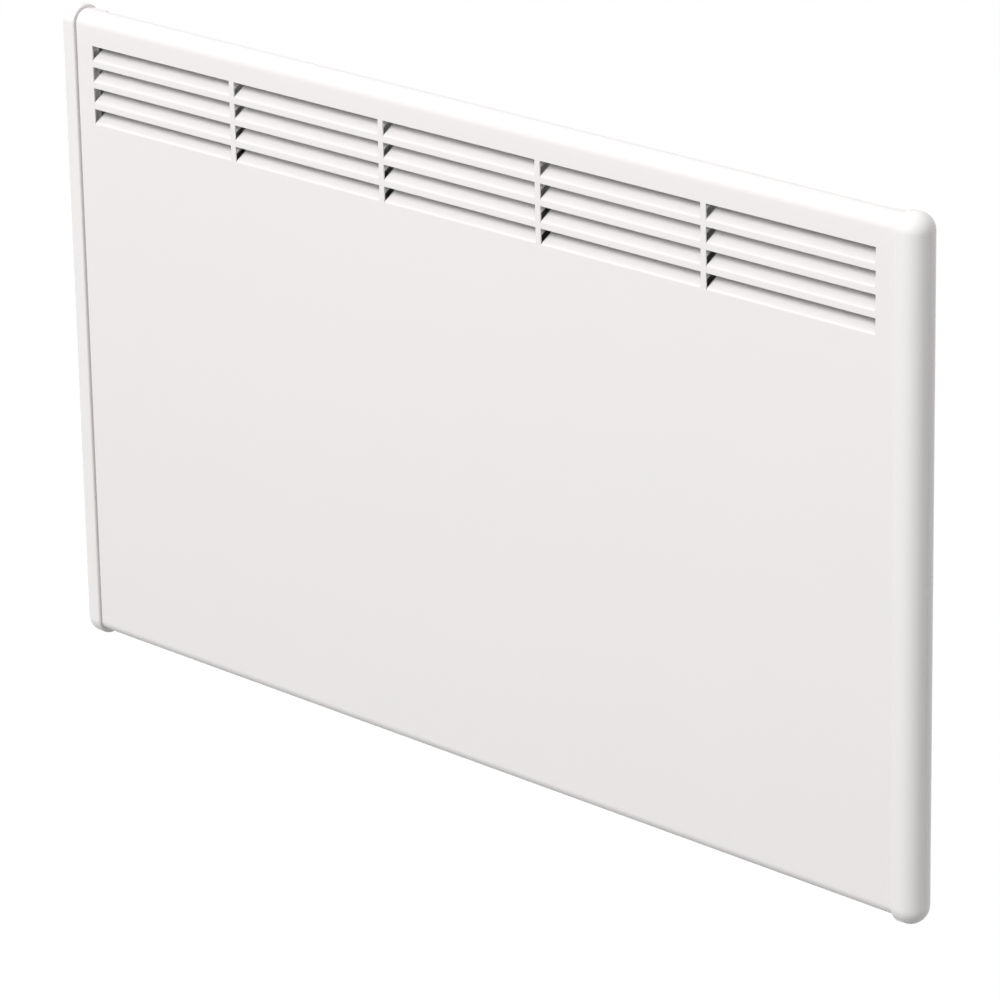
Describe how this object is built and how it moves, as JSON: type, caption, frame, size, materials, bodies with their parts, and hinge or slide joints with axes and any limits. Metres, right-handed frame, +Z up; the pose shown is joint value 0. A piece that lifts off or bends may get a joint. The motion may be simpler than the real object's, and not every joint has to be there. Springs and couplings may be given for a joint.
{
  "type": "wall panel convector heater",
  "caption": "Slim white wall-hung convector heater with rows of pressed louvres, moulded end caps, a rear wall bracket and controls on the underside.",
  "frame": {"origin": "middle of the wall bracket's back face, which is the wall's plane", "axes": "+X along the heater's length, +Y into the wall, +Z up"},
  "size_m": [0.6806, 0.055, 0.3998],
  "materials": {
    "white_steel": "satin powder coat",
    "white_plastic": "fine satin moulding",
    "zinc_steel": "zinc coated",
    "bright_aluminium": "mill finish",
    "black_plastic": "matt moulding",
    "grey_plastic": "matt moulding",
    "rubber": "matt",
    "ceramic": "unglazed",
    "clear_lens": "polished, clear",
    "board_green": "solder mask",
    "wire_blue": "silicone sleeve",
    "wire_brown": "silicone sleeve"
  },
  "bodies": {
    "heater": {"front_cover": "white_steel", "end_cap_left": "white_plastic", "end_cap_right": "white_plastic", "control_housing": "white_plastic", "rear_housing": "zinc_steel", "bracket_rail": "zinc_steel", "bracket_upright_left": "zinc_steel", "bracket_upright_right": "zinc_steel", "cap_screw_upper_left": "zinc_steel", "cap_screw_upper_right": "zinc_steel", "cap_screw_lower_left": "zinc_steel", "cap_screw_lower_right": "zinc_steel", "cover_screw_1": "zinc_steel", "cover_screw_2": "zinc_steel", "cover_screw_3": "zinc_steel", "element_rod": "zinc_steel", "element_holder_left": "zinc_steel", "element_holder_right": "zinc_steel", "heating_element": "bright_aluminium", "front_heat_shield": "bright_aluminium", "rear_heat_shield": "bright_aluminium", "element_bush_left": "black_plastic", "element_bush_right": "black_plastic", "thermal_cutout": "black_plastic", "relay": "black_plastic", "mode_switch": "black_plastic", "up_switch": "black_plastic", "down_switch": "black_plastic", "rocker_frame": "black_plastic", "projector_barrel": "black_plastic", "segment_mask": "black_plastic", "cord_gland": "black_plastic", "gland_nut": "black_plastic", "transformer": "grey_plastic", "room_sensor": "grey_plastic", "wall_bumper_left": "rubber", "wall_bumper_right": "rubber", "terminal_bead_left": "ceramic", "terminal_bead_right": "ceramic", "terminal_block": "ceramic", "projector_lamp": "ceramic", "projector_lens": "clear_lens", "projector_window": "clear_lens", "circuit_board": "board_green", "neutral_lead": "wire_blue", "supply_lead": "wire_brown", "switched_lead": "wire_brown", "element_lead": "wire_brown"},
    "power_rocker": {"power_rocker": "black_plastic"},
    "mode_button": {"mode_button": "grey_plastic"},
    "up_button": {"up_button": "grey_plastic"},
    "down_button": {"down_button": "grey_plastic"},
    "bracket_lock_left": {"bracket_lock_left": "grey_plastic"},
    "bracket_lock_right": {"bracket_lock_right": "grey_plastic"}
  },
  "joints": [
    {"name": "power_rocker_tilt", "type": "hinge", "parent": "heater", "child": "power_rocker", "pos_m": [0.146, -0.02535, -0.18402], "axis": [0, 1, 0], "range_deg": [0, 20]},
    {"name": "mode_button_press", "type": "slide", "parent": "heater", "child": "mode_button", "axis": [0, 0, 1], "range_m": [0, 0.0006], "stiffness_N_per_m": 600, "springref_m": -0.002},
    {"name": "up_button_press", "type": "slide", "parent": "heater", "child": "up_button", "axis": [0, 0, 1], "range_m": [0, 0.0006], "stiffness_N_per_m": 600, "springref_m": -0.002},
    {"name": "down_button_press", "type": "slide", "parent": "heater", "child": "down_button", "axis": [0, 0, 1], "range_m": [0, 0.0006], "stiffness_N_per_m": 600, "springref_m": -0.002},
    {"name": "bracket_lock_left_turn", "type": "hinge", "parent": "heater", "child": "bracket_lock_left", "pos_m": [-0.15, -0.006, -0.1282], "axis": [0, 0, 1], "range_deg": [-90, 0]},
    {"name": "bracket_lock_right_turn", "type": "hinge", "parent": "heater", "child": "bracket_lock_right", "pos_m": [0.15, -0.006, -0.1282], "axis": [0, 0, 1], "range_deg": [0, 90]}
  ]
}
